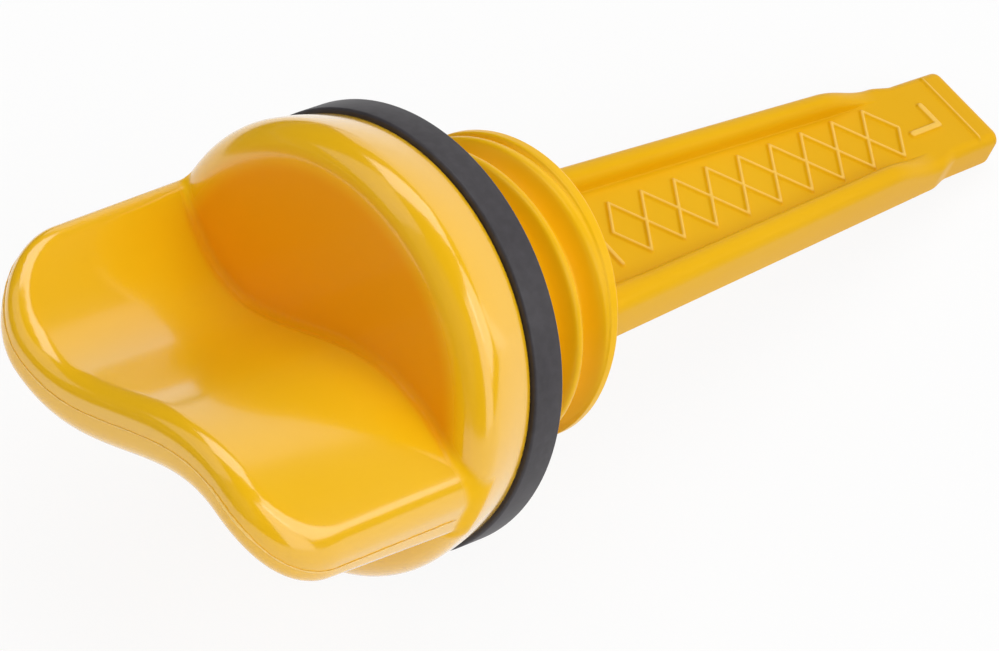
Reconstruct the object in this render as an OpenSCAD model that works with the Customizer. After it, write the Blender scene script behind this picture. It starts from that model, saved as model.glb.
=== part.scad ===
// Engine oil filler cap with a dipstick blade: one plastic moulding and a rubber gasket.
// Each piece is drawn on the axis of the thread: X across the blade, Y from the gasket
// seat to the tip, Z square to the marked face. placed() then lays it down on the gasket
// rim and the tip, with Z = 0 as the surface that it lies on.

/* [Head] */
// How far the widest part of the head stands out past the gasket
head_lip = 0.3; // [0.2:0.05:1.5]
// How much the radius of the head shrinks from there to the gasket
head_taper = 0.95; // [0.4:0.05:1.5]
// Thickness of the head from its face to the gasket seat
head_h = 5.2; // [4.6:0.1:7]
// Radius of the rounded front shoulder of the head
shoulder_r = 2; // [1.2:0.1:2.6]

/* [Grip] */
// How far each side edge of the grip lies inside the widest part of the head
grip_inset = 0.15; // [0.15:0.05:2]
// Length of the grip in front of the face of the head
grip_len = 15.6; // [10:0.1:22]
// Height of the S wave from the axis to the middle of a crest
grip_wave = 2.7; // [1:0.1:3.4]
// Length of one whole S wave
grip_wave_len = 28.9; // [24:0.1:34]
// Thickness of the grip on the axis, next to the head
grip_mid_t = 3.6; // [3:0.1:4.4]
// Thickness of the grip at its two side edges, next to the head
grip_side_t = 4.1; // [3:0.1:5]
// Thickness of the grip on the axis, at its far end
grip_end_mid_t = 3.9; // [3:0.1:4.4]
// Thickness of the grip at its two far corners
grip_end_side_t = 2.9; // [2.9:0.1:4.4]
// Radius of the two corners at the far end of the grip
grip_corner_r = 5.8; // [3:0.1:8]
// Radius of the rounding all round the edge of the grip
grip_edge_r = 1.3; // [0.5:0.1:1.4]
// Radius of the fillet where the grip meets the head
grip_root_r = 0.8; // [0.4:0.1:1.4]

/* [Gasket] */
// Width of the ring from its bore to its rim
gasket_w = 4.15; // [3.6:0.05:4.8]
// Thickness of the gasket
gasket_h = 2.4; // [1.5:0.1:3]
// Radial gap between the bore of the gasket and the neck
gasket_gap = 0.1; // [0.05:0.05:0.3]
// Width of the bevel on the edges of the gasket
gasket_bevel = 0.2; // [0.1:0.05:0.4]

/* [Thread] */
// Outer diameter of the screw thread
thread_d = 20; // [18:0.1:22]
// Distance between two turns of the thread
thread_pitch = 2.5; // [2:0.1:3]
// Depth of the thread groove
thread_depth = 1.3; // [0.8:0.1:1.5]
// Width of the crest of the thread
crest_w = 0.5; // [0.3:0.05:0.8]
// Length of the plain neck under the gasket
neck_h = 3.6; // [3.4:0.1:4.5]
// Length of the whole plug below the head
plug_h = 11.6; // [10:0.1:14]
// Thickness of the plain collar at the end of the plug
collar_h = 0.7; // [0.4:0.1:1.5]
// Width of the bevel on the end of the collar
collar_bevel = 0.2; // [0.1:0.05:0.3]
// Angle round the plug at which the thread leaves the neck
thread_start = 15; // [0:5:355]
// Wall round the recess in the end of the plug
plug_wall = 2.5; // [2:0.1:3.4]
// Depth of the recess in the end of the plug
recess_h = 3.6; // [1:0.1:3.9]

/* [Blade] */
// Distance from the gasket seat to the tip of the blade
blade_len = 56.3; // [50:0.1:75]
// Width of the blade at the end of the plug
blade_root_w = 12.4; // [11:0.1:12.6]
// Width of the blade where the rails end
blade_end_w = 8; // [7.6:0.1:9]
// Width of the flat tip next to the rails
tip_w = 7.2; // [5.6:0.1:7.4]
// Width of the flat tip at its very end
tip_end_w = 6.9; // [5:0.1:7.2]
// Length of the flat tip past the rails
tip_h = 6.6; // [4.5:0.1:8]
// Length over which the blade narrows from the rails to the tip
tip_step = 2; // [0.8:0.1:3]
// Radius of the corners of the tip
tip_corner_r = 0.5; // [0.3:0.1:1.5]
// Height of the channel floor above the axis
floor_z = 1.15; // [0.9:0.05:1.5]
// Depth of the back of the blade below the axis
back_z = 1.4; // [0.8:0.05:1.6]
// Height of the rails above the channel floor
rail_h = 1.2; // [0.6:0.05:1.6]
// Rounding of the outer edges of the rails
rail_r = 1.1; // [0.5:0.05:1.2]
// Rounding of the marked face's edges on the flat tip
tip_edge_r = 0.7; // [0.2:0.05:0.8]
// Rounding of the top of the rails towards the channel
rim_r = 0.6; // [0.2:0.05:0.8]
// Rounding of the edges at the back of the blade
back_r = 0.4; // [0.2:0.05:0.6]
// Width of the channel at the end of the plug
channel_root_w = 7.8; // [7:0.1:9]
// Width of the channel where the rails end
channel_end_w = 7; // [5:0.1:7.2]
// Length over which the rails run down to the floor
rail_fade = 7; // [4:0.1:12]

/* [Marks] */
// Distance from the gasket seat to the upper limit line
high_line = 19.8; // [18:0.1:22]
// Length of the upper limit line
high_line_w = 4.8; // [4:0.1:6.4]
// Distance from the lower limit line to the tip of the blade
low_line_gap = 2.1; // [1:0.1:4]
// Length of the lower limit line
low_line_w = 6; // [3:0.1:6.2]
// Number of diamonds in the hatch
diamonds = 9; // [4:1:12]
// Width of the diamonds across the blade
diamond_w = 4.4; // [3:0.1:4.6]
// Distance from the upper limit line to the start of the hatch
hatch_gap = 1.32; // [0.6:0.02:3]
// Room between the end of the hatch and the lower limit line, for the level's letter
letter_room = 5.34; // [2:0.02:7]
// Width of the raised lines
line_w = 0.32; // [0.2:0.02:0.5]
// Height of the raised lines
line_h = 0.2; // [0.1:0.05:0.4]

/* [Hidden] */

neck_r = thread_d / 2;
core_r = neck_r - thread_depth;
gasket_bore_r = neck_r + gasket_gap;
gasket_r = gasket_bore_r + gasket_w;
head_r = gasket_r + head_lip;
head_back_r = head_r - head_taper;
shoulder_c = head_r - shoulder_r;
recess_r = core_r - plug_wall;
low_line = blade_len - low_line_gap;
hatch_start = high_line + hatch_gap;
diamond_len = (low_line - letter_room - hatch_start) / diamonds;
// The thread's crest stays this much inside the neck and the collar
crest_drop = 0.06;
// How far a joined shape reaches into its neighbour
sink = 0.4;

// Sides of the turned shapes, and steps of the curved surfaces
round_sides = 96;
wave_steps = 26;
edge_steps = 5;
turn_steps = 30;
arc_steps = 5;
shoulder_steps = 8;

// The angle at which it lies, on the gasket's front rim and the back edge of the tip
rim_y = gasket_h - gasket_bevel;
lie_angle = atan2(gasket_r - back_z, blade_len - rim_y);
lie_height = gasket_r * cos(lie_angle) + rim_y * sin(lie_angle);

// The middle of the length on the ground
grip_end_y = head_h + grip_len - grip_edge_r;
grip_end_z = grip_wave + grip_end_mid_t / 2 - grip_edge_r;
near_end = -grip_end_y * cos(lie_angle) - grip_end_z * sin(lie_angle) - grip_edge_r;
far_end = blade_len * cos(lie_angle) + floor_z * sin(lie_angle);
lie_middle = (near_end + far_end) / 2;

// Between a and b as t runs from 0 to 1, and a smooth step over the same run
function mix(a, b, t) = a + (b - a) * min(1, max(0, t));
function smooth(t) = let (u = min(1, max(0, t))) u * u * (3 - 2 * u);

// Lays a piece down on the ground with its middle over the origin
module placed() {
    translate([0, -lie_middle, lie_height]) rotate([-lie_angle, 0, 0]) children();
}

// Turns a shape drawn up Z so that it runs along Y
module along_y() {
    rotate([-90, 0, 0]) children();
}

// Closed skin over rings of points. Each ring has an even number of points: the first half
// runs along one side of it, and the second half comes back along the other. The rings
// follow each other to the side that their points turn away from, or with reverse = true
// to the other side.
module skin(rings, reverse = false) {
    count = len(rings[0]);
    last = len(rings) - 1;
    ordered = reverse ? [for (i = [last : -1 : 0]) rings[i]] : rings;
    points = [for (ring = ordered) for (p = ring) p];
    walls = [for (i = [0 : last - 1]) for (j = [0 : count - 1])
        let (k = (j + 1) % count, a = i * count, b = a + count)
        each [[a + j, b + j, b + k], [a + j, b + k, a + k]]];
    // Each cap is a ladder between the two sides of its ring
    first_cap = [for (j = [0 : count / 2 - 2]) let (k = count - 1 - j)
        each [[j, j + 1, k - 1], [j, k - 1, k]]];
    last_cap = [for (f = first_cap) [for (i = [2 : -1 : 0]) last * count + f[i]]];
    polyhedron(points, concat(first_cap, walls, last_cap), convexity = 6);
}

// Head

// Half section of the head, with its back at 0 and its face at -head_h
module head_profile() {
    shoulder = [for (i = [0 : shoulder_steps]) let (a = 90 * i / shoulder_steps)
        [shoulder_c + shoulder_r * cos(a), -head_h + shoulder_r * (1 - sin(a))]];
    polygon(concat([[0, 0], [head_back_r, 0]], shoulder, [[0, -head_h]]));
}

module head() {
    rotate([90, 0, 0]) mirror([0, 0, 1]) rotate_extrude($fn = round_sides) head_profile();
}

// Grip: a wave across the head, rounded at its edges and at its two corners

grip_half = head_r - grip_inset;
grip_root = head_h - shoulder_r - sink;
grip_end = head_h + grip_len;

function wave(x) = grip_wave * sin(360 * x / grip_wave_len);
function wave_slope(x) = grip_wave * 2 * PI / grip_wave_len * cos(360 * x / grip_wave_len);
function grip_t(x, y) =
    let (out = pow(x / grip_half, 2), along = (y - head_h) / grip_len)
    mix(mix(grip_mid_t, grip_side_t, out), mix(grip_end_mid_t, grip_end_side_t, out), along);

// Where the end of the grip lies at a given place across it
function end_at(x) =
    let (over = max(0, abs(x) - (grip_half - grip_corner_r)))
    grip_end - grip_corner_r + sqrt(max(0, pow(grip_corner_r, 2) - pow(over, 2)));

// Distance from a place on the grip to the nearest edge in plan
function edge_gap(x, y) =
    let (u = abs(x) - (grip_half - grip_corner_r), v = y - (grip_end - grip_corner_r))
    (u > 0 && v > 0) ? grip_corner_r - norm([u, v]) : grip_corner_r - max(u, v);

// What a fillet of radius r takes away at a distance d from the edge
function rounding(r, d) = (d >= r) ? 0 : r - sqrt(max(0, r * r - pow(r - d, 2)));

// Half height of the grip above its wave
function grip_half_h(x, y) =
    let (d = edge_gap(x, y), root = y - head_h, slope = wave_slope(x))
    (grip_t(x, y) / 2 - rounding(grip_edge_r, d)
        + rounding(grip_root_r, max(0, root)) * smooth((d - grip_edge_r) / grip_edge_r))
    * sqrt(1 + slope * slope);

// Places across the grip, closer together at its two edges
edge_places = [for (i = [0 : edge_steps - 1]) grip_edge_r * (1 - cos(90 * i / edge_steps))];
grip_inner = grip_half - grip_edge_r;
grip_xs = concat(
    [for (e = edge_places) -grip_half + e],
    [for (i = [0 : wave_steps]) -grip_inner + 2 * grip_inner * i / wave_steps],
    [for (i = [edge_steps - 1 : -1 : 0]) grip_half - edge_places[i]]);

// Places along the grip for one place across it
function grip_ys(x) =
    let (end = end_at(x), flat_start = head_h + grip_root_r, flat_end = end - grip_edge_r)
    concat([grip_root, head_h - sink / 2],
        [for (i = [1 : arc_steps - 1]) head_h + grip_root_r * (1 - cos(90 * i / arc_steps))],
        [for (i = [0 : 3]) flat_start + (flat_end - flat_start) * i / 3],
        [for (i = [edge_steps - 1 : -1 : 0]) end - edge_places[i]]);

module grip() {
    rows = [for (x = grip_xs) grip_ys(x)];
    n = len(rows[0]);
    skin([for (i = [0 : len(grip_xs) - 1])
        let (x = grip_xs[i], ys = rows[i])
        concat(
            [for (j = [0 : n - 1]) [x, -ys[j], wave(x) + grip_half_h(x, ys[j])]],
            [for (j = [n - 1 : -1 : 0]) [x, -ys[j], wave(x) - grip_half_h(x, ys[j])]])]);
}

// Thread

thread_from = neck_h - crest_w;
thread_turns = (plug_h - collar_h / 2 - thread_from) / thread_pitch;

// Half section of the ridge: radius and place along the axis
ridge_section = [
    [core_r - sink, -thread_pitch * 0.47], [core_r + thread_depth * 0.15, -thread_pitch * 0.38],
    [core_r + thread_depth * 0.6, -thread_pitch * 0.22], [neck_r - crest_drop, -crest_w / 2],
    [neck_r - crest_drop, crest_w / 2], [core_r + thread_depth * 0.6, thread_pitch * 0.22],
    [core_r + thread_depth * 0.15, thread_pitch * 0.38], [core_r - sink, thread_pitch * 0.47]];

module ridge() {
    steps = ceil(thread_turns * turn_steps);
    skin([for (i = [0 : steps])
        let (turn = thread_turns * i / steps, a = thread_start + 360 * turn,
            y = thread_from + thread_pitch * turn)
        [for (p = ridge_section) [p[0] * sin(a), y + p[1], p[0] * cos(a)]]], true);
}

module plug() {
    difference() {
        union() {
            translate([0, -sink, 0]) along_y() cylinder(r = core_r, h = plug_h + sink, $fn = round_sides);
            translate([0, -sink, 0]) along_y() cylinder(r = neck_r, h = neck_h + sink, $fn = round_sides);
            translate([0, plug_h - collar_h, 0]) along_y()
                cylinder(r = neck_r, h = collar_h - collar_bevel, $fn = round_sides);
            translate([0, plug_h - collar_bevel, 0]) along_y()
                cylinder(r1 = neck_r, r2 = neck_r - collar_bevel, h = collar_bevel, $fn = round_sides);
            intersection() {
                ridge();
                along_y() cylinder(r = thread_d, h = plug_h - collar_h / 2, $fn = 12);
            }
        }
        translate([0, plug_h - recess_h, 0]) along_y()
            cylinder(r = recess_r, h = recess_h + 1, $fn = round_sides);
    }
}

// Blade

rails_end = blade_len - tip_h;
fade_start = rails_end - rail_fade;
rail_top = floor_z + rail_h;
// The rails end this much above the floor, which the channel then trims
rail_rest = 0.04;
blade_start = plug_h - recess_h - 1;

function blade_half(y) =
    let (rail = blade_root_w + (blade_end_w - blade_root_w) * (y - plug_h) / (rails_end - plug_h),
        tip = mix(tip_w, tip_end_w, (y - rails_end) / tip_h),
        corner = rounding(tip_corner_r, blade_len - y))
    ((y < rails_end) ? rail : tip + (blade_end_w - tip_w) * (1 - smooth((y - rails_end) / tip_step)))
        / 2 - corner;
function top_at(y) = mix(rail_top, floor_z + rail_rest, smooth((y - fade_start) / rail_fade));

// Section of the blade before its channel is cut
function blade_section(y) =
    let (w = blade_half(y), top = top_at(y), b = back_r,
        r = mix(rail_r, tip_edge_r, smooth((y - fade_start) / rail_fade)))
    concat(
        [for (i = [0 : arc_steps]) let (a = 90 * i / arc_steps)
            [w - r + r * cos(a), y, top - r + r * sin(a)]],
        [for (i = [0 : arc_steps]) let (a = 90 + 90 * i / arc_steps)
            [-w + r + r * cos(a), y, top - r + r * sin(a)]],
        [for (i = [0 : 2]) let (a = 180 + 45 * i)
            [-w + b + b * cos(a), y, -back_z + b + b * sin(a)]],
        [for (i = [0 : 2]) let (a = 270 + 45 * i)
            [w - b + b * cos(a), y, -back_z + b + b * sin(a)]]);

blade_ys = concat([blade_start, plug_h, mix(plug_h, fade_start, 0.5)],
    [for (i = [0 : 6]) fade_start + rail_fade * i / 6],
    [for (i = [1 : 5]) rails_end + tip_step * i / 5],
    [for (i = [4 : -1 : 1]) blade_len - tip_corner_r * (1 - cos(90 * i / 4))],
    [blade_len]);

// Half section of the channel at a place along the blade, from its floor up past the rails
function channel_half(y) =
    let (w = (channel_root_w + (channel_end_w - channel_root_w) * (y - plug_h)
            / (rails_end - plug_h)) / 2,
        top = top_at(y), r = min(rim_r, (top - floor_z) * 0.9))
    concat([[w, y, floor_z]],
        [for (i = [0 : 4]) let (a = 90 * i / 4) [w + r * (1 - cos(a)), y, top - r + r * sin(a)]],
        [[w + r + sink, y, top + sink], [w + r + sink, y, rail_top + 1]]);

// The channel, and the flat face of the tip past the rails
module channel() {
    ys = [blade_start - 1, plug_h, mix(plug_h, fade_start, 0.5),
        for (i = [0 : 6]) fade_start + rail_fade * i / 6, rails_end + sink];
    skin([for (y = ys) let (half = channel_half(y), n = len(half))
        concat(half, [for (i = [n - 1 : -1 : 0]) [-half[i][0], half[i][1], half[i][2]]])], true);
    translate([-blade_root_w, rails_end, floor_z])
        cube([2 * blade_root_w, tip_h + 1, rail_h + 1]);
}

// Raised lines on the floor of the channel

module hatch() {
    half = diamond_w / 2;
    pitch = diamond_len;
    // Width of a slanting line, measured along and across the blade
    slant = norm([half, pitch / 2]);
    run = line_w * slant / half;
    side = line_w * slant / pitch;
    pinch = line_w / 2;
    near = [for (i = [0 : diamonds - 1])
        each [[pinch, pitch * i], [half, pitch * (i + 0.5)]]];
    far = [for (i = [diamonds - 1 : -1 : 0])
        each [[-half, pitch * (i + 0.5)], [-pinch, pitch * i]]];
    translate([0, hatch_start, floor_z - sink]) linear_extrude(line_h + sink) difference() {
        polygon(concat(near, [[pinch, pitch * diamonds], [-pinch, pitch * diamonds]], far));
        for (i = [0 : diamonds - 1]) translate([0, pitch * (i + 0.5)])
            polygon([[0, run - pitch / 2], [half - side, 0], [0, pitch / 2 - run],
                [side - half, 0]]);
    }
}

module limit_line(y, w) {
    translate([-w / 2, y - line_w / 2, floor_z - sink]) cube([w, line_w, line_h + sink]);
}

module blade() {
    difference() {
        skin([for (y = blade_ys) blade_section(y)], true);
        channel();
    }
    hatch();
    limit_line(high_line, high_line_w);
    limit_line(low_line, low_line_w);
}

// The two pieces

module cap_dipstick() {
    color("orange") placed() union() {
        head();
        grip();
        plug();
        blade();
    }
}

module gasket() {
    inner = gasket_bore_r;
    b = gasket_bevel;
    color("dimgray") placed() rotate([90, 0, 0]) mirror([0, 0, 1]) rotate_extrude($fn = round_sides)
        polygon([[inner + b, 0], [gasket_r - b, 0], [gasket_r, b], [gasket_r, gasket_h - b],
            [gasket_r - b, gasket_h], [inner + b, gasket_h], [inner, gasket_h - b], [inner, b]]);
}

cap_dipstick();
gasket();
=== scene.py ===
import math

import bpy
import numpy as np
from mathutils import Matrix, Vector


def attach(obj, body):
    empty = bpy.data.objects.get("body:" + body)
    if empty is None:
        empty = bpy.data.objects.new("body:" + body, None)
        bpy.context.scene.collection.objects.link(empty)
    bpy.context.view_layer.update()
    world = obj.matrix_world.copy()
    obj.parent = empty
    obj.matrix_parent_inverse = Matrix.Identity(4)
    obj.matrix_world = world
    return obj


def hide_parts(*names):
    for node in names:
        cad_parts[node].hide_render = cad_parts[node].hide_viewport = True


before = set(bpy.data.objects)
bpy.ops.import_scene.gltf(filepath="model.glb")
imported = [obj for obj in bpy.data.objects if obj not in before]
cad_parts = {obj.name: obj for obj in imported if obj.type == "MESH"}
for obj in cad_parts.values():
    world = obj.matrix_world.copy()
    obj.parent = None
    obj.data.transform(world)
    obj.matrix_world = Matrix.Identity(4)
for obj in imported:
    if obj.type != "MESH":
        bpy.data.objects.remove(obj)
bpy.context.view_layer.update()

# Sizes from the part's source, in millimetres
HEAD_R, HEAD_H, SHOULDER_R = 14.55, 5.2, 2.0
GRIP_HALF, GRIP_LEN = 14.4, 15.6
WAVE, WAVE_LEN = 2.7, 28.9
ROOT_MID_T, ROOT_SIDE_T, END_MID_T, END_SIDE_T = 3.6, 4.1, 3.9, 2.9
CORNER_R, EDGE_R = 5.8, 1.3
GASKET_R, GASKET_BORE_R, GASKET_H, GASKET_BEVEL = 14.25, 10.1, 2.4, 0.2
NECK_R, NECK_H, PLUG_H, COLLAR_H = 10.0, 3.6, 11.6, 0.7
PITCH, THREAD_DEPTH, CREST_W, THREAD_START = 2.5, 1.3, 0.5, 15.0
RECESS_R, RECESS_H = 6.2, 3.6
BLADE_LEN, BLADE_ROOT_W, BLADE_END_W = 56.3, 12.4, 8.0
TIP_W, TIP_END_W, TIP_H, TIP_STEP = 7.2, 6.9, 6.6, 2.0
TIP_CORNER_R, TIP_EDGE_R = 0.5, 0.7
FLOOR_Z, BACK_Z, RAIL_H, RAIL_R, BACK_R = 1.15, 1.4, 1.2, 1.1, 0.4
CHANNEL_ROOT_W, CHANNEL_END_W, RAIL_FADE = 7.8, 7.0, 7.0
HIGH_LINE, HIGH_LINE_W, LOW_LINE, LOW_LINE_W = 19.8, 4.8, BLADE_LEN - 2.1, 6.0
DIAMONDS, DIAMOND_W, HATCH_START, LETTER_ROOM = 9, 4.4, HIGH_LINE + 1.32, 5.34
DIAMOND_LEN = (LOW_LINE - LETTER_ROOM - HATCH_START) / DIAMONDS
LINE_H = 0.2

# Where the photo asks for a little more than the source has: the head's rear edge is wider,
# the root of the grip tighter, the rails rounder and slimmer towards the tip and their run-out
# shorter, the tip's face higher, and the upper side of the plug's end runs out further
REAR_R, GRIP_ROOT_R, RAIL_RIM_R = 13.9, 0.4, 0.95
TIP_LIFT, PLUG_LEAN = 0.14, 0.55
RAIL_RUN_OUT, SLIM_ROOT, SLIM_END = 5.6, 0.95, 0.68

# Smaller forms, in millimetres. Head and grip: rounded edges, the root fillet at the grip's
# sides and how it grows from there, and how far the dull root reaches
HEAD_BLEND, SEAT_EDGE_R, GRIP_START = 0.3, 0.25, HEAD_H - SHOULDER_R + 0.2
ROOT_EDGE_R, ROOT_FADE_FROM, ROOT_FADE_LEN = 0.3, 0.8, 2
CREASE_NEAR, CREASE_FADE = 0.25, 0.4
# Flash on the grip's edge, and where it is chipped
FLASH_R, FLASH_OUT, FLASH_SIDES = 0.065, 0.03, 8
CHIP_X, CHIP_SPREAD, CHIP_LEN, CHIP_R = 9.5, 2.6, 3.5, 0.07
# Plug: rounded edges, slopes and blends, the thread's ridge, and the lean of its end
NECK_EDGE_R, COLLAR_EDGE_R, PLUG_END_R, FLANK, PLUG_BLEND = 0.16, 0.16, 0.26, 0.14, 0.35
PLUG_START, RIDGE_TURNS, RIDGE_SINK, HUB_R = -0.4, 6, 0.06, 0.01
LEAN_ANGLE, LEAN_LEN, LEAN_FADE = 5, 1.4, 1.2
# Raised lines: half of their widths, how wide their sides are, and the level letter's points
HATCH_HALF_W, HIGH_LINE_HALF_W, LOW_LINE_HALF_W, LETTER_HALF_W = 0.22, 0.24, 0.16, 0.32
HATCH_SIDE, LINE_SIDE, LETTER_SIDE = 0.17, 0.13, 0.15
LETTER = ((0.88, 49.5), (0.88, 52.05), (-0.96, 52.05))
# Rails: the fillet at their foot, the slope of their inner wall in degrees, and the room
# that the wall leaves for the rounding outside it
FOOT_R, RAIL_DRAFT, RAIL_CLEAR = 0.15, 80, 0.05

# How fine the meshes are, and how the head's net is moved onto the surface
NET_STEP, NET_MARGIN = 0.24, 0.6
NET_ROUNDS, NET_REACH, NET_PROBE, NET_FLATTEST = 4, 0.4, 0.02, 0.05
PLUG_SIDES, THREAD_STEP, COLLAR_STEP = 320, 0.075, 0.045
MARK_STEP, MARK_MARGIN, TIP_MARGIN, GASKET_SIDES = 0.075, 0.05, 0.4, 240

# Colours and finishes: the ends of a flow mark's range, painted shade for the face and the tip,
# painted highlight for raised lines, the face's painted shade with its reach in millimetres,
# and what its dull part and the grip's root have
YELLOWS = ((0.93, 0.505, 0.002), (0.95, 0.53, 0.005))
FACE_SHADE_ORANGE, TIP_SHADE_AMBER, GLINT_PALE = (0.87, 0.3, 0.0), (0.62, 0.27, 0.0), (1.0, 0.66, 0.16)
FACE_SHADE_TINT, FACE_SHADE_DEPTH = 0.85, 1.1
FACE_SHADE_FULL_R, FACE_SHADE_EDGE_R = HEAD_R - SHOULDER_R - 1.2, HEAD_R - SHOULDER_R + 0.8
DULL_SHARE = 0.8
DULL_LEVELS = {"Roughness": 0.5, "Coat Weight": 0.05, "Specular IOR Level": 0.08}
RUBBERS = ((0.030, 0.026, 0.031), (0.044, 0.039, 0.046))

# Floor, light and camera: lengths in metres, angles in degrees
FLOOR_SIZE, FLOOR_DROP, FLOOR_GREY, WHITE_SHARE, GROUND_LIGHT = 6.0, 0.0001, 0.86, 0.9, 0.07
CARD_WAY, CARD_NEAR, CARD_FAR, CARD_HALF, CARD_LIFT = (0.77, 0.64, 0), 0.08, 1.5, 1, 0.0003
AIM = (0, 0, 0.012)
# Panels of light: azimuth, height, distance, width, how tall, and watts
PANELS = {
    "overhead": (-49, 63, 1.14, 1.15, 0.70, 6.4),
    "right": (55, 38, 1.2, 0.68, 0.99, 4.6),
    "right_low": (31, 8, 1.2, 0.17, 0.78, 0.3),
    "right_wide": (88, 30, 1.3, 0.66, 1.5, 5.0),
    "front": (-142, 36, 1.2, 0.78, 0.97, 1.7),
    "back": (-12, 19.5, 1.3, 2.6, 0.9, 6.2),
    "fill": (170, 30, 1.3, 1.6, 1.0, 6.6),
}
# The photograph's camera: its directions and place as the shapes are made, and the
# photograph's size, focal length and middle in pixels
CAMERA_RIGHT, CAMERA_DOWN = (0.621331, 0.700770, 0.350528), (0.681548, -0.262639, -0.683018)
CAMERA_AT = (139.692, -226.472, 227.086)
PHOTO_W, PHOTO_H, FOCAL_PX, MIDDLE_PX = 999, 651, 5702.2, (494.53, 326.61)
SENSOR_W = 36

# How it lies on the ground, as in the part's source
RIM_Y = GASKET_H - GASKET_BEVEL
LIE = math.atan2(GASKET_R - BACK_Z, BLADE_LEN - RIM_Y)
LIE_COS, LIE_SIN = math.cos(LIE), math.sin(LIE)
LIE_HEIGHT = GASKET_R * LIE_COS + RIM_Y * LIE_SIN
NEAR_Y = HEAD_H + GRIP_LEN - EDGE_R
NEAR_Z = WAVE + END_MID_T / 2 - EDGE_R
LIE_MIDDLE = ((-NEAR_Y * LIE_COS - NEAR_Z * LIE_SIN - EDGE_R)
              + (BLADE_LEN * LIE_COS + FLOOR_Z * LIE_SIN)) / 2


def turned(v):
    """Directions on the thread's axis, turned as the part lies."""
    v = np.asarray(v, float)
    return np.stack([v[..., 0], v[..., 1] * LIE_COS + v[..., 2] * LIE_SIN,
                     -v[..., 1] * LIE_SIN + v[..., 2] * LIE_COS], -1)


def placed(v):
    """Points on the thread's axis in millimetres, laid down, in metres."""
    return (turned(v) + [0, -LIE_MIDDLE, LIE_HEIGHT]) / 1000


def smooth(t):
    t = np.clip(t, 0, 1)
    return t * t * (3 - 2 * t)


def mix(a, b, t):
    return a + (b - a) * np.clip(t, 0, 1)


# Meshes

def piece(name, points, faces, material):
    """A smooth-shaded mesh from points on the thread's axis."""
    mesh = bpy.data.meshes.new(name)
    faces = np.asarray(faces)
    mesh.vertices.add(len(points))
    mesh.vertices.foreach_set("co", placed(points).astype(np.float32).ravel())
    sides = faces.shape[1]
    mesh.loops.add(faces.size)
    mesh.loops.foreach_set("vertex_index", faces.astype(np.int32).ravel())
    mesh.polygons.add(len(faces))
    mesh.polygons.foreach_set("loop_start", np.arange(0, faces.size, sides, dtype=np.int32))
    mesh.polygons.foreach_set("loop_total", np.full(len(faces), sides, np.int32))
    mesh.polygons.foreach_set("use_smooth", np.ones(len(faces), bool))
    mesh.update(calc_edges=True)
    mesh.validate()
    obj = bpy.data.objects.new(name, mesh)
    bpy.context.scene.collection.objects.link(obj)
    mesh.materials.append(material)
    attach(obj, "root")
    return obj


def note(obj, name, amount):
    """A number from 0 to 1 at each point, which the material reads by its name."""
    attribute = obj.data.attributes.new(name, "FLOAT", "POINT")
    attribute.data.foreach_set("value", np.asarray(amount, np.float32).ravel())


def grid_faces(rows, columns, wrap=False):
    """Quads between rows of points, closed round the columns if wrap is true."""
    i = np.arange(rows - 1)[:, None] * columns
    j = np.arange(columns if wrap else columns - 1)[None, :]
    k = (j + 1) % columns
    return np.stack([i + j, i + columns + j, i + columns + k, i + k], -1).reshape(-1, 4)


def round_over(gap, r):
    """How far an edge rounded by r draws in, at a distance gap before its end."""
    return r - np.sqrt(np.maximum(r ** 2 - np.maximum(r - gap, 0) ** 2, 0))


def onto_surface(field, points, step):
    """Points of a net with this step, moved to where field is zero."""
    probe = step * NET_PROBE
    for _ in range(NET_ROUNDS):
        f = field(points)
        slope = np.stack([(field(points + probe * e) - field(points - probe * e)) / (2 * probe)
                          for e in np.eye(3)], -1)
        slope_sq = np.maximum((slope ** 2).sum(-1), NET_FLATTEST)
        move = -(f / slope_sq)[:, None] * slope
        size = np.linalg.norm(move, axis=-1, keepdims=True)
        points = points + move * np.minimum(1, NET_REACH * step / np.maximum(size, 1e-9))
    return points


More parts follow.
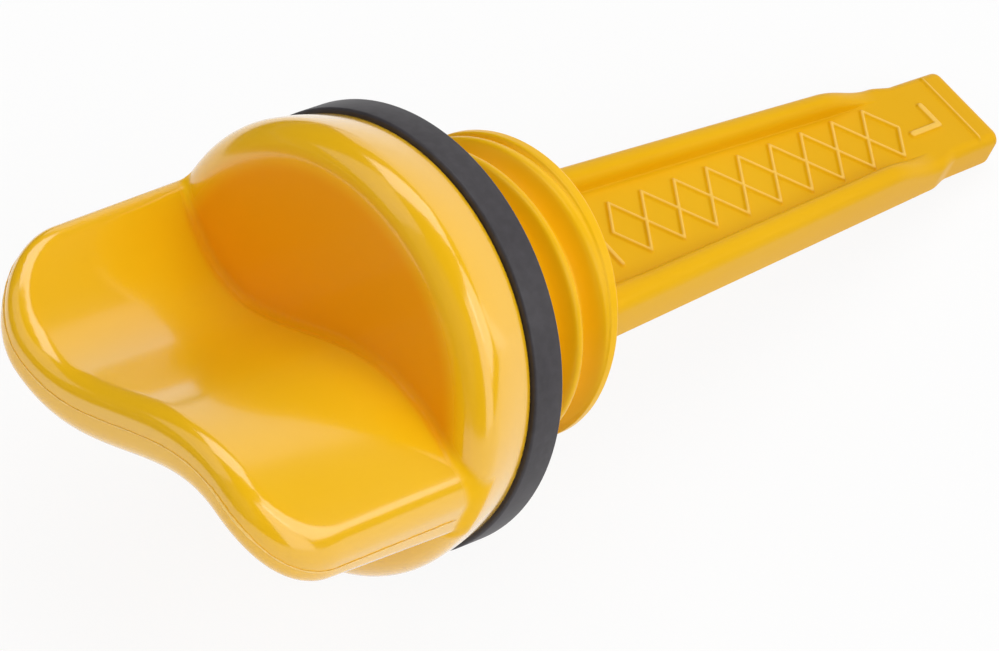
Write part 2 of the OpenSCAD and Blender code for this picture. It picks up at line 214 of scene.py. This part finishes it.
def surface_net(field, low, high, step):
    """Quads round the places where field is below zero, with points moved onto the surface."""
    counts = [int(math.ceil((b - a) / step)) + 1 for a, b in zip(low, high)]
    axes = [a + step * np.arange(n) for a, n in zip(low, counts)]
    grid = np.stack(np.meshgrid(*axes, indexing="ij"), -1)
    value = field(grid.reshape(-1, 3)).reshape(counts)
    inside = value < 0
    shape = [n - 1 for n in counts]
    # Each cell that the surface crosses gets a point, the mean of where its edges cross it
    total, number = np.zeros(shape + [3]), np.zeros(shape)
    cell = [slice(0, -1), slice(1, None)]
    for axis in range(3):
        others = [a for a in range(3) if a != axis]
        a_in = np.take(inside, range(counts[axis] - 1), axis)
        b_in = np.take(inside, range(1, counts[axis]), axis)
        va = np.take(value, range(counts[axis] - 1), axis)
        vb = np.take(value, range(1, counts[axis]), axis)
        cross = a_in != b_in
        t = np.where(cross, va / np.where(cross, va - vb, 1), 0)
        for p in (0, 1):
            for q in (0, 1):
                pick = [slice(None)] * 3
                pick[others[0]], pick[others[1]] = cell[p], cell[q]
                c = cross[tuple(pick)]
                number += c
                total[..., axis] += np.where(c, t[tuple(pick)], 0)
                total[..., others[0]] += c * p
                total[..., others[1]] += c * q
    used = number > 0
    index = np.full(shape, -1)
    index[used] = np.arange(used.sum())
    corner = np.stack(np.nonzero(used), -1)
    points = np.array(low) + step * (corner + total[used] / number[used][:, None])
    # Each edge that crosses the surface gets a quad through the four cells round it
    quads = []
    for axis in range(3):
        u, v = (axis + 1) % 3, (axis + 2) % 3
        pick = [slice(1, -1)] * 3
        pick[axis] = slice(0, -1)
        following = list(pick)
        following[axis] = slice(1, None)
        a_in, b_in = inside[tuple(pick)], inside[tuple(following)]
        where = np.stack(np.nonzero(a_in != b_in), -1)
        flip = a_in[tuple(where.T)]
        base = where.copy()
        base[:, u] += 1
        base[:, v] += 1
        cells = []
        for du, dv in ((-1, -1), (0, -1), (0, 0), (-1, 0)):
            at = base.copy()
            at[:, u] += du
            at[:, v] += dv
            cells.append(index[tuple(at.T)])
        quad = np.stack(cells, -1)
        quad[~flip] = quad[~flip][:, ::-1]
        quads.append(quad)
    return onto_surface(field, points, step), np.concatenate(quads)


# Distances: negative inside

def rounded_and(a, b, r):
    return np.minimum(-r, np.maximum(a, b)) + np.hypot(np.maximum(a + r, 0),
                                                       np.maximum(b + r, 0))


def rounded_or(a, b, r):
    return np.maximum(r, np.minimum(a, b)) - np.hypot(np.maximum(r - a, 0),
                                                      np.maximum(r - b, 0))


def soft_max(a, b, k):
    h = np.maximum(k - np.abs(a - b), 0) / k
    return np.maximum(a, b) + h * h * k / 4


def wave(x):
    return WAVE * np.sin(2 * np.pi * x / WAVE_LEN)


def wave_slope(x):
    return WAVE * 2 * np.pi / WAVE_LEN * np.cos(2 * np.pi * x / WAVE_LEN)


def edge_gap(x, y):
    """How far a place on the grip is from its edge in plan. y runs out from the head."""
    u = np.abs(x) - (GRIP_HALF - CORNER_R)
    v = y - (HEAD_H + GRIP_LEN - CORNER_R)
    return CORNER_R - np.where((u > 0) & (v > 0), np.hypot(u, v), np.maximum(u, v))


def head_distance(p):
    x, y, z = p[:, 0], p[:, 1], p[:, 2]
    r = np.hypot(x, z)
    taper = np.array([HEAD_H - SHOULDER_R, HEAD_R - REAR_R])
    taper = taper / np.linalg.norm(taper)
    side = (r - HEAD_R) * taper[0] + (y + HEAD_H - SHOULDER_R) * taper[1]
    side = soft_max(side, r - HEAD_R, HEAD_BLEND)
    body = rounded_and(-y - HEAD_H, side, SHOULDER_R)
    return rounded_and(body, y, SEAT_EDGE_R)


def grip_distance(p):
    x, out, z = p[:, 0], -p[:, 1], p[:, 2]
    across, along = (x / GRIP_HALF) ** 2, (out - HEAD_H) / GRIP_LEN
    thick = mix(ROOT_MID_T + (ROOT_SIDE_T - ROOT_MID_T) * across,
                END_MID_T + (END_SIDE_T - END_MID_T) * across, along)
    slope = wave_slope(x)
    slab = np.abs(z - wave(x)) / np.sqrt(1 + slope * slope) - thick / 2
    plate = rounded_and(slab, -edge_gap(x, out), EDGE_R)
    return np.maximum(plate, GRIP_START - out)


def cap_distance(p):
    """Head and grip in one. The root fillet gets smaller towards the sides of the grip."""
    gap = edge_gap(p[:, 0], -p[:, 1])
    fillet = mix(ROOT_EDGE_R, GRIP_ROOT_R, smooth((gap - ROOT_FADE_FROM) / ROOT_FADE_LEN))
    return rounded_or(head_distance(p), grip_distance(p), fillet)


def make_flash(material):
    """The thin uneven line that the mould's halves leave round the edge of the grip."""
    far = HEAD_H + GRIP_LEN
    corner = np.radians(np.linspace(0, 90, 40))
    start = np.linspace(HEAD_H - 0.2, far - CORNER_R, 50)[:-1]
    side = [np.full(start.shape, GRIP_HALF), start]
    turn = [GRIP_HALF - CORNER_R * (1 - np.cos(corner)), far - CORNER_R * (1 - np.sin(corner))]
    end = np.linspace(GRIP_HALF - CORNER_R, 0, 60)[1:]
    half = np.concatenate([side, turn, [end, np.full(end.shape, far)]], 1)
    line = np.concatenate([half, (half[:, :-1] * [[-1], [1]])[:, ::-1]], 1).T
    at = np.stack([line[:, 0], -line[:, 1], wave(line[:, 0])], -1)
    along = np.gradient(at, axis=0)
    along /= np.linalg.norm(along, axis=1, keepdims=True)
    out = np.stack([-along[:, 1], along[:, 0], np.zeros(len(at))], -1)
    out /= np.linalg.norm(out, axis=1, keepdims=True)
    up = np.cross(out, along)
    run = np.cumsum(np.linalg.norm(np.gradient(at, axis=0), axis=1))
    # It is now thicker and now thinner along the edge
    uneven = 0.6 + 0.25 * np.sin(1.7 * run) * np.sin(0.61 * run + 1) + 0.15 * np.sin(5.3 * run)
    radius = FLASH_R * np.clip(uneven, 0.25, 1.2)
    # The worst of it is at the near corner
    chipped = np.exp(-((at[:, 0] - CHIP_X) / CHIP_SPREAD) ** 2) * (at[:, 1] < -far + CHIP_LEN)
    radius += CHIP_R * chipped * (0.7 + 0.3 * np.sin(9 * run))
    # It runs out at both ends
    ends = np.minimum(np.arange(len(at)), np.arange(len(at))[::-1]) / 4
    radius *= np.clip(ends, 0.05, 1)
    a = np.arange(FLASH_SIDES) * 2 * np.pi / FLASH_SIDES
    points = (at[:, None] + FLASH_OUT * out[:, None]
              + radius[:, None, None] * (np.cos(a)[None, :, None] * out[:, None]
                                         + np.sin(a)[None, :, None] * up[:, None]))
    flash = piece("flash_line", points.reshape(-1, 3),
                  grid_faces(len(at), FLASH_SIDES, wrap=True), material)
    # Painted highlight: the whole flash is marked as raised, so its material paints it pale
    note(flash, "raised", np.ones(len(at) * FLASH_SIDES))
    return flash


def make_head(material):
    m = NET_MARGIN
    points, quads = surface_net(cap_distance, (-HEAD_R - m, -HEAD_H - GRIP_LEN - m, -HEAD_R - m),
                                (HEAD_R + m, m, HEAD_R + m), NET_STEP)
    head = piece("head_grip", points, quads, material)
    # The mould is not polished in the narrow root of the grip
    off_root = np.maximum(np.abs(head_distance(points)), np.abs(grip_distance(points)))
    note(head, "crease", 1 - smooth((off_root - CREASE_NEAR) / CREASE_FADE))
    return head


# Plug: rings of points round the thread's axis

def ridge_radius(offset):
    """Radius of the thread at a distance along the axis from the middle of its crest."""
    core = NECK_R - THREAD_DEPTH
    at = np.array([0, 0.10, 0.16, 0.22, 0.30, 0.38, 0.44, 0.5]) * PITCH
    rise = np.array([1.0, 0.955, 0.80, 0.60, 0.34, 0.14, 0.04, 0.0])
    fine = np.linspace(-1.6, 1.6, 641)
    line = core + THREAD_DEPTH * np.interp(np.abs(fine), at, rise)
    # The profile is smoothed over 41 of its fine steps
    kernel = np.exp(-np.linspace(-2.5, 2.5, 41) ** 2 / 2)
    line = np.convolve(np.pad(line, 20, mode="edge"), kernel / kernel.sum(), mode="valid")
    return np.interp(np.abs(offset), fine, line) - RIDGE_SINK


def plug_radius(y, a):
    """Radius of the neck, the thread and the collar at a distance y and an angle a."""
    core, collar_from = NECK_R - THREAD_DEPTH, PLUG_H - COLLAR_H
    first = NECK_H - CREST_W
    radius = np.full(y.shape, core)
    # Turn by turn; the ridge grows out of the neck over its first tenth of a turn
    for k in range(-1, RIDGE_TURNS):
        turns = (a - math.radians(THREAD_START)) / (2 * np.pi) + k
        lead = smooth((turns + 0.02) / 0.1)
        ridge = core + (ridge_radius(y - first - PITCH * turns) - core) * lead
        radius = np.maximum(radius, ridge)
    neck_r = np.where(y < NECK_H, NECK_R, NECK_R - (y - NECK_H) / FLANK * THREAD_DEPTH)
    neck_r = neck_r - round_over(NECK_H - y, NECK_EDGE_R)
    collar_r = np.where(y > collar_from, NECK_R, NECK_R - (collar_from - y) / FLANK * THREAD_DEPTH)
    collar_r = (collar_r - round_over(PLUG_H - y, PLUG_END_R)
                - round_over(y - collar_from, COLLAR_EDGE_R))
    for other in (neck_r, collar_r):
        radius = np.minimum(soft_max(radius, other, PLUG_BLEND), NECK_R)
    return radius


def make_plug(material):
    angle = np.arange(PLUG_SIDES) * 2 * np.pi / PLUG_SIDES
    recess_floor, fine_from = PLUG_H - RECESS_H, PLUG_H - COLLAR_H - 0.3

    def ring(r, at):
        return np.stack([r * np.sin(angle), np.full(PLUG_SIDES, at), r * np.cos(angle)], -1)[None]

    ys = np.concatenate([[PLUG_START, 1.2], np.arange(2.2, fine_from, THREAD_STEP),
                         np.arange(fine_from, PLUG_H - 0.001, COLLAR_STEP), [PLUG_H]])
    y, a = np.meshgrid(ys, angle, indexing="ij")
    radius = plug_radius(y, a)
    outside = np.stack([radius * np.sin(a), y, radius * np.cos(a)], -1)
    # Over the end of the plug, round the edge of the recess and down to its floor
    section = [(NECK_R - PLUG_END_R - 0.5, PLUG_H), (RECESS_R + 0.25, PLUG_H),
               (RECESS_R + 0.08, PLUG_H - 0.06), (RECESS_R, PLUG_H - 0.25),
               (RECESS_R, recess_floor + 0.3), (RECESS_R - 0.1, recess_floor + 0.08),
               (RECESS_R - 0.35, recess_floor), (HUB_R, recess_floor)]
    rings = np.concatenate([ring(HUB_R, PLUG_START), outside]
                           + [ring(r, at) for r, at in section])
    # The upper side of the end runs out further
    lean = np.maximum(np.cos(angle - math.radians(LEAN_ANGLE)), 0) ** 2
    leaning = smooth((rings[..., 1] - PLUG_H + LEAN_LEN) / LEAN_FADE)
    rings[..., 1] += PLUG_LEAN * lean * leaning
    faces = grid_faces(len(rings), PLUG_SIDES, wrap=True)
    return piece("plug", rings.reshape(-1, 3), faces, material)


# Blade: sections across it, one after another along it

RAILS_END = BLADE_LEN - TIP_H
BLADE_START = PLUG_H - RECESS_H - 0.6


def segment_gap(x, y, a, b):
    """Distance from places to the segment from a to b."""
    a, b = np.array(a, float), np.array(b, float)
    d = b - a
    t = np.clip(((x - a[0]) * d[0] + (y - a[1]) * d[1]) / (d @ d), 0, 1)
    return np.hypot(x - a[0] - t * d[0], y - a[1] - t * d[1])


def stroke_height(x, y, points, half_width, edge):
    """A raised line through the points: flat on top, with sides as wide as edge."""
    gap = np.full(x.shape, 9.0)
    for a, b in zip(points, points[1:]):
        gap = np.minimum(gap, segment_gap(x, y, a, b))
    return LINE_H * smooth((half_width - gap) / edge)


def mark_height(x, y):
    """Height of the raised lines over the floor of the channel."""
    half = DIAMOND_W / 2
    strokes = []
    for side in (-half, half):
        zigzag = [(side * (i % 2), HATCH_START + DIAMOND_LEN * i / 2)
                  for i in range(2 * DIAMONDS + 1)]
        strokes.append((zigzag, HATCH_HALF_W, HATCH_SIDE))
    for at, w, half_width in ((HIGH_LINE, HIGH_LINE_W, HIGH_LINE_HALF_W),
                              (LOW_LINE, LOW_LINE_W, LOW_LINE_HALF_W)):
        strokes.append(([(-w / 2, at), (w / 2, at)], half_width, LINE_SIDE))
    # The letter of the lower level, read from the tip
    strokes.append((LETTER, LETTER_HALF_W, LETTER_SIDE))
    return np.max([stroke_height(x, y, *stroke) for stroke in strokes], axis=0)


def blade_halves(y):
    """The right half of each section, from the middle of the floor over the rail to the middle
    of the back, and how far out its marks may reach."""
    run = (y - PLUG_H) / (RAILS_END - PLUG_H)
    rail = BLADE_ROOT_W + (BLADE_END_W - BLADE_ROOT_W) * run
    tip = mix(TIP_W, TIP_END_W, (y - RAILS_END) / TIP_H)
    step = (BLADE_END_W - TIP_W) * (1 - smooth((y - RAILS_END) / TIP_STEP))
    half = (np.where(y < RAILS_END, rail, tip + step) / 2
            - round_over(BLADE_LEN - y, TIP_CORNER_R))
    fade = smooth((y - (RAILS_END - RAIL_RUN_OUT)) / RAIL_RUN_OUT)
    wall = RAIL_H * (1 - fade)
    slim = mix(SLIM_ROOT, SLIM_END, run)
    outer_r = mix(RAIL_R * slim, TIP_EDGE_R, fade)
    channel = mix(CHANNEL_ROOT_W, CHANNEL_END_W, run) / 2
    # The floor rises a little to the face of the tip, and the tip's end is rounded over
    floor_z = FLOOR_Z + TIP_LIFT * smooth((y - (RAILS_END - RAIL_FADE / 2)) / RAIL_FADE)
    end = round_over(BLADE_LEN - y, TIP_EDGE_R)

    # The inner wall of a rail: a small fillet at its foot, a draft, and a wide rounding on top
    steep = math.radians(RAIL_DRAFT)
    foot_a, rim_a = np.linspace(0, steep, 5), np.linspace(steep, 0, 9)
    foot_x, foot_z = FOOT_R * np.sin(foot_a), FOOT_R * (1 - np.cos(foot_a))
    rim_x, rim_z = RAIL_RIM_R * (1 - np.sin(rim_a)), RAIL_RIM_R * np.cos(rim_a)
    draft = (RAIL_H - foot_z[-1] - rim_z[-1] + rim_z[0]) / math.tan(steep)
    dx = (np.concatenate([foot_x, foot_x[-1] + draft + rim_x - rim_x[0]]) - FOOT_R) * slim
    rise = np.concatenate([foot_z, RAIL_H - RAIL_RIM_R + rim_z]) / RAIL_H
    foot_at = dx[:, :1] + np.minimum(channel, half - outer_r - dx[:, -1:] - RAIL_CLEAR)
    wall_x = foot_at - dx[:, :1] + dx[:, 1:]
    wall_z = floor_z + wall * rise[1:] - end

    # The floor before it, and after it the rail's outer edge, the back's edge and the back
    floor_x = foot_at * np.linspace(0, 1, 50)
    over, under = np.radians(np.linspace(90, 0, 9)), np.radians(np.linspace(0, -90, 6))
    over_x = half - outer_r + outer_r * np.cos(over)
    over_z = floor_z + wall - outer_r + outer_r * np.sin(over) - end
    under_x = half - BACK_R + BACK_R * np.cos(under)
    under_z = -BACK_Z + BACK_R + BACK_R * np.sin(under) + end
    back_x = (half - BACK_R) * np.linspace(0.75, 0, 4)
    x = np.concatenate([floor_x, wall_x, over_x, under_x, back_x], 1)
    z = np.concatenate([np.broadcast_to(floor_z - end, floor_x.shape), wall_z, over_z, under_z,
                        np.broadcast_to(end - BACK_Z, back_x.shape)], 1)
    marked = mix(foot_at + MARK_MARGIN, half - TIP_MARGIN, fade)
    return np.stack([x, np.broadcast_to(y, x.shape), z], -1), marked


def blade_ends(rows, columns, count):
    """Quads that close both ends between their two halves, each of count points."""
    ends = []
    for row in (0, rows - 1):
        base = row * columns
        right = base + np.arange(count)
        left = base + np.concatenate([[0], columns - 1 - np.arange(count - 2), [count - 1]])
        quad = np.stack([right[:-1], right[1:], left[1:], left[:-1]], -1)
        ends.append(quad[:, ::-1] if row == 0 else quad)
    return ends


def make_blade(material):
    # The sections lie close together along the raised lines, and round the edge of the tip
    ys = np.concatenate([
        np.linspace(BLADE_START, HIGH_LINE - 0.65, 34),
        np.arange(HIGH_LINE - 0.6, LOW_LINE + 0.6, MARK_STEP),
        np.linspace(LOW_LINE + 0.62, BLADE_LEN - TIP_CORNER_R, 10),
        BLADE_LEN - TIP_CORNER_R * (1 - np.sin(np.radians(np.arange(12, 91, 13))))])
    half, marked = blade_halves(ys[:, None])
    mirrored = half[:, 1:-1][:, ::-1] * [-1, 1, 1]
    rings = np.concatenate([half, mirrored], 1)
    # Only the floor of the channel carries raised lines
    on_floor = (rings[..., 2] > FLOOR_Z - 0.4) & (np.abs(rings[..., 0]) < marked)
    lift = np.where(on_floor, mark_height(rings[..., 0], rings[..., 1]), 0)
    rings[..., 2] += lift
    rows, columns = rings.shape[:2]
    sides = grid_faces(rows, columns, wrap=True)[:, ::-1]
    faces = np.concatenate([sides] + blade_ends(rows, columns, half.shape[1]))
    blade = piece("blade", rings.reshape(-1, 3), faces, material)
    # Painted highlight: the material paints the raised lines paler where this mark is high
    note(blade, "raised", lift / LINE_H)
    return blade


# Gasket: a ring with rounded edges

def make_gasket(material):
    angle = np.arange(GASKET_SIDES) * 2 * np.pi / GASKET_SIDES
    r = GASKET_BEVEL
    section = []
    for cx, cy, start in ((GASKET_R - r, r, 270), (GASKET_R - r, GASKET_H - r, 0),
                          (GASKET_BORE_R + r, GASKET_H - r, 90), (GASKET_BORE_R + r, r, 180)):
        for a in np.radians(start + np.linspace(0, 90, 6)):
            section.append((cx + r * math.cos(a), cy + r * math.sin(a)))
    radius, y = np.array(section).T[..., None]
    rings = np.stack([radius * np.sin(angle), y + 0 * angle, radius * np.cos(angle)], -1)
    # The last row of faces closes onto the first ring
    faces = grid_faces(len(rings) + 1, GASKET_SIDES, wrap=True) % (len(rings) * GASKET_SIDES)
    return piece("gasket_ring", rings.reshape(-1, 3), faces, material)


# Materials

def set_up(tree, node, ordered=(), named=None):
    """Gives a node its values: ordered ones to its inputs one by one, and named ones to an
    input, with _ for a space, or to a setting. What comes out of a node is linked."""
    pairs = list(zip(node.inputs, ordered))
    for key, value in (named or {}).items():
        socket = key.replace("_", " ")
        if socket in node.inputs:
            pairs.append((node.inputs[socket], value))
        else:
            setattr(node, key, value)
    for socket, value in pairs:
        if isinstance(value, bpy.types.NodeSocket):
            tree.links.new(value, socket)
        else:
            socket.default_value = value
    return node


def add(tree, kind, *ordered, **named):
    """A new node with its values."""
    return set_up(tree, tree.nodes.new(kind), ordered, named)


def maths(tree, operation, *ordered):
    return add(tree, "ShaderNodeMath", *ordered, operation=operation).outputs[0]


def ranged(tree, value, start, end, low, high, kind="SMOOTHSTEP"):
    """A number that goes from low to high while value goes from start to end."""
    return add(tree, "ShaderNodeMapRange", interpolation_type=kind, Value=value, From_Min=start,
               From_Max=end, To_Min=low, To_Max=high).outputs["Result"]


def between(tree, value, places, colours):
    """A colour that goes from one to another while value goes between two places."""
    ramp = add(tree, "ShaderNodeValToRGB", Fac=value)
    for element, place, colour in zip(ramp.color_ramp.elements, places, colours):
        element.position = place
        element.color = (*colour, 1)
    return ramp.outputs["Color"]


def tinted(tree, colour, tint, share):
    return add(tree, "ShaderNodeMixRGB", Fac=share, Color1=colour,
               Color2=(*tint, 1)).outputs["Color"]


def grained(tree, shader, height, strength, distance):
    bump = add(tree, "ShaderNodeBump", Height=height, Strength=strength, Distance=distance)
    tree.links.new(bump.outputs["Normal"], shader.inputs["Normal"])


def new_material(name, **named):
    """A material, its nodes and its shader, with values for the shader's inputs."""
    material = bpy.data.materials.new(name)
    material.use_nodes = True
    tree = material.node_tree
    return material, tree, set_up(tree, tree.nodes["Principled BSDF"], named=named)


def axis_place(y):
    """How far a point of the thread's axis lies along the axis's own direction, in metres."""
    return float(placed((0, y, 0)) @ turned((0, 1, 0)))


def face_shade_share(tree, place, along):
    """How much painted shade a place on the head's face gets, from 0 up to the face's full tint.
    """
    off_face = maths(tree, "ABSOLUTE", maths(tree, "SUBTRACT", along, axis_place(-HEAD_H)))
    depth = ranged(tree, off_face, 0.0, FACE_SHADE_DEPTH / 1000, FACE_SHADE_TINT, 0.0)
    off_middle = add(tree, "ShaderNodeVectorMath", place, placed((0, -HEAD_H, 0)),
                     operation="DISTANCE").outputs["Value"]
    inside = ranged(tree, off_middle, FACE_SHADE_FULL_R / 1000, FACE_SHADE_EDGE_R / 1000, 1.0, 0.0)
    return maths(tree, "MULTIPLY", depth, inside)


def dull_root(tree, shader, shaded_face):
    """Neither the root of the grip nor the face beside it mirrors as sharply as the rest."""
    crease = add(tree, "ShaderNodeAttribute", attribute_name="crease").outputs["Fac"]
    dulled = maths(tree, "MAXIMUM", crease, maths(tree, "MULTIPLY", shaded_face, DULL_SHARE))
    for name, dull in DULL_LEVELS.items():
        plain = shader.inputs[name].default_value
        level = ranged(tree, dulled, 0.0, 1.0, plain, dull, "LINEAR")
        tree.links.new(level, shader.inputs[name])


def plastic(name, roughness, shine, coat, grain, tone=1.0, glint=0.6, tip_shade=0.0,
            dull_crease=False):
    """Moulded yellow plastic with slight flow marks in its colour and a faint grain, and a deeper
    orange painted on the head's face as shade. tone makes it lighter or darker, glint is how pale
    raised lines are painted as a highlight, tip_shade how much painted shade darkens the colour
    towards the tip, and dull_crease dulls the root of the grip."""
    material, tree, shader = new_material(name, IOR=1.5, Roughness=roughness, Coat_Weight=coat,
                                          Coat_Roughness=0.11, Specular_IOR_Level=shine)
    place = add(tree, "ShaderNodeTexCoord").outputs["Object"]
    flow = add(tree, "ShaderNodeTexNoise", Vector=place, Scale=90.0, Detail=3.0,
               Roughness=0.5).outputs["Fac"]
    yellows = [(red * tone, green * tone, blue) for red, green, blue in YELLOWS]
    colour = between(tree, flow, (0.3, 0.7), yellows)
    # Painted shade: the head's face is thick and lies in its own shade behind the grip, and a
    # deeper orange is painted there
    along = add(tree, "ShaderNodeVectorMath", place, turned((0, 1, 0)),
                operation="DOT_PRODUCT").outputs["Value"]
    shaded_face = face_shade_share(tree, place, along)
    colour = tinted(tree, colour, FACE_SHADE_ORANGE, shaded_face)
    # Painted shade: the colour is painted a darker amber towards the tip of the blade, where less
    # light falls
    if tip_shade:
        down = ranged(tree, along, axis_place(PLUG_H), axis_place(BLADE_LEN), 0.0, tip_shade,
                      "LINEAR")
        colour = tinted(tree, colour, TIP_SHADE_AMBER, down)
    if dull_crease:
        dull_root(tree, shader, shaded_face)
    # Painted highlight: raised lines and the flash are painted paler, standing in for the glint on
    # their tops
    raised = add(tree, "ShaderNodeAttribute", attribute_name="raised").outputs["Fac"]
    colour = tinted(tree, colour, GLINT_PALE, ranged(tree, raised, 0.5, 1.0, 0.0, glint))
    tree.links.new(colour, shader.inputs["Base Color"])
    fine = add(tree, "ShaderNodeTexNoise", Vector=place, Scale=2600.0, Detail=2.0).outputs["Fac"]
    grained(tree, shader, fine, grain, 0.00002)
    return material


def rubber():
    """Black rubber with a little dust on it."""
    material, tree, shader = new_material("gasket_rubber", IOR=1.5, Roughness=0.5)
    place = add(tree, "ShaderNodeTexCoord").outputs["Object"]
    dust = add(tree, "ShaderNodeTexNoise", Vector=place, Scale=1500.0, Detail=2.0).outputs["Fac"]
    tree.links.new(between(tree, dust, (0.35, 0.8), RUBBERS), shader.inputs["Base Color"])
    grained(tree, shader, dust, 0.25, 0.00004)
    return material


glossy = plastic("cap_plastic", roughness=0.2, shine=0.5, coat=1.0, grain=0.06,
                 dull_crease=True)
satin = plastic("plug_plastic", roughness=0.3, shine=0.15, coat=0.05, grain=0.12, tone=1.02)
matte = plastic("blade_plastic", roughness=0.34, shine=0.08, coat=0.0, grain=0.3, tone=0.93,
                tip_shade=0.3)
glint_plastic = plastic("flash_plastic", roughness=0.4, shine=0.5, coat=0.3, grain=0.06, glint=1.0)
head = make_head(glossy)
flash = make_flash(glint_plastic)
plug = make_plug(satin)
blade = make_blade(matte)
gasket = make_gasket(rubber())
for made in (head, flash, plug, blade):
    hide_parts("cap_dipstick")
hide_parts("gasket")


# Floor, light and camera

def sheet(name, corners, material):
    """A flat sheet with four corners."""
    mesh = bpy.data.meshes.new(name)
    mesh.from_pydata([tuple(corner) for corner in corners], [], [(0, 1, 2, 3)])
    mesh.materials.append(material)
    obj = bpy.data.objects.new(name, mesh)
    bpy.context.scene.collection.objects.link(obj)
    return obj


def make_floor():
    """A pale floor that is nearly pure white where it is seen or mirrored."""
    material = bpy.data.materials.new("floor")
    material.use_nodes = True
    tree = material.node_tree
    tree.nodes.clear()
    ray = add(tree, "ShaderNodeLightPath").outputs
    seen = maths(tree, "MAXIMUM", ray["Is Camera Ray"], ray["Is Glossy Ray"])
    seen = maths(tree, "MAXIMUM", seen, ray["Is Transmission Ray"])
    plain = add(tree, "ShaderNodeBsdfDiffuse", Color=(FLOOR_GREY, FLOOR_GREY, FLOOR_GREY, 1))
    white = add(tree, "ShaderNodeEmission", Color=(1, 1, 1, 1), Strength=1.0)
    blend = add(tree, "ShaderNodeMixShader", maths(tree, "MULTIPLY", seen, WHITE_SHARE),
                plain.outputs[0], white.outputs[0])
    add(tree, "ShaderNodeOutputMaterial", Surface=blend.outputs[0])
    h, z = FLOOR_SIZE / 2, -FLOOR_DROP
    floor = sheet("floor", [(-h, -h, z), (h, -h, z), (h, h, z), (-h, h, z)], material)


def make_card():
    """A black card on the floor at the camera's left, which only reflections show."""
    material = new_material("card", Base_Color=(0.01, 0.01, 0.01, 1), Roughness=1.0)[0]
    out = np.array(CARD_WAY)
    along = np.array((-out[1], out[0], 0))
    corners = [-out * far + along * side + [0, 0, CARD_LIFT]
               for far, side in ((CARD_NEAR, -CARD_HALF), (CARD_NEAR, CARD_HALF),
                                 (CARD_FAR, CARD_HALF), (CARD_FAR, -CARD_HALF))]
    card = sheet("card", corners, material)
    card.visible_camera = card.visible_diffuse = card.visible_shadow = False


def make_world():
    """White behind the object, and a faint even light on it."""
    world = bpy.data.worlds.new("studio")
    bpy.context.scene.world = world
    world.use_nodes = True
    tree = world.node_tree
    ground = set_up(tree, tree.nodes["Background"],
                    named={"Color": (1, 1, 1, 1), "Strength": GROUND_LIGHT})
    white = add(tree, "ShaderNodeBackground", Color=(1, 1, 1, 1), Strength=1.0)
    seen = add(tree, "ShaderNodeLightPath").outputs["Is Camera Ray"]
    blend = add(tree, "ShaderNodeMixShader", seen, ground.outputs[0], white.outputs[0])
    tree.links.new(blend.outputs[0], tree.nodes["World Output"].inputs["Surface"])


def softbox(name, azimuth, height, distance, width, tall, watts):
    """A lit panel that faces the object. Azimuth runs from +Y towards +X, and height is the
    angle above the ground, both in degrees; the sizes are in metres."""
    light = bpy.data.lights.new(name, "AREA")
    light.shape = "RECTANGLE"
    light.size, light.size_y = width, tall
    light.energy = watts
    obj = bpy.data.objects.new(name, light)
    a, h = math.radians(azimuth), math.radians(height)
    towards = Vector((math.sin(a) * math.cos(h), math.cos(a) * math.cos(h), math.sin(h)))
    obj.location = Vector(AIM) + distance * towards
    obj.rotation_euler = (-towards).to_track_quat("-Z", "Y").to_euler()
    obj.visible_camera = False
    bpy.context.scene.collection.objects.link(obj)
    return obj


def make_lights():
    panels = {name: softbox(name, *values) for name, values in PANELS.items()}
    # The overhead panel lies level, with its long side square to its azimuth
    panels["overhead"].rotation_euler = (0, 0, -math.radians(PANELS["overhead"][0]))
    panels["fill"].visible_glossy = False


def make_camera():
    """The camera that the photograph was taken with, solved on the thread's axis."""
    right, down = turned(CAMERA_RIGHT), turned(CAMERA_DOWN)
    into = np.cross(right, down)
    right, into = right / np.linalg.norm(right), into / np.linalg.norm(into)
    down = np.cross(into, right)
    at = placed(CAMERA_AT)
    data = bpy.data.cameras.new("camera")
    data.sensor_width = SENSOR_W
    data.lens = FOCAL_PX * SENSOR_W / PHOTO_W
    data.shift_x = (PHOTO_W / 2 - MIDDLE_PX[0]) / PHOTO_W
    data.shift_y = (MIDDLE_PX[1] - PHOTO_H / 2) / PHOTO_W
    data.clip_start, data.clip_end = 0.01, 20
    obj = bpy.data.objects.new("camera", data)
    bpy.context.scene.collection.objects.link(obj)
    obj.matrix_world = Matrix([[right[i], -down[i], -into[i], at[i]] for i in range(3)]
                              + [[0, 0, 0, 1]])
    bpy.context.scene.camera = obj


make_camera()
make_floor()
make_card()
make_world()
make_lights()

bpy.context.scene.view_settings.view_transform = "Standard"
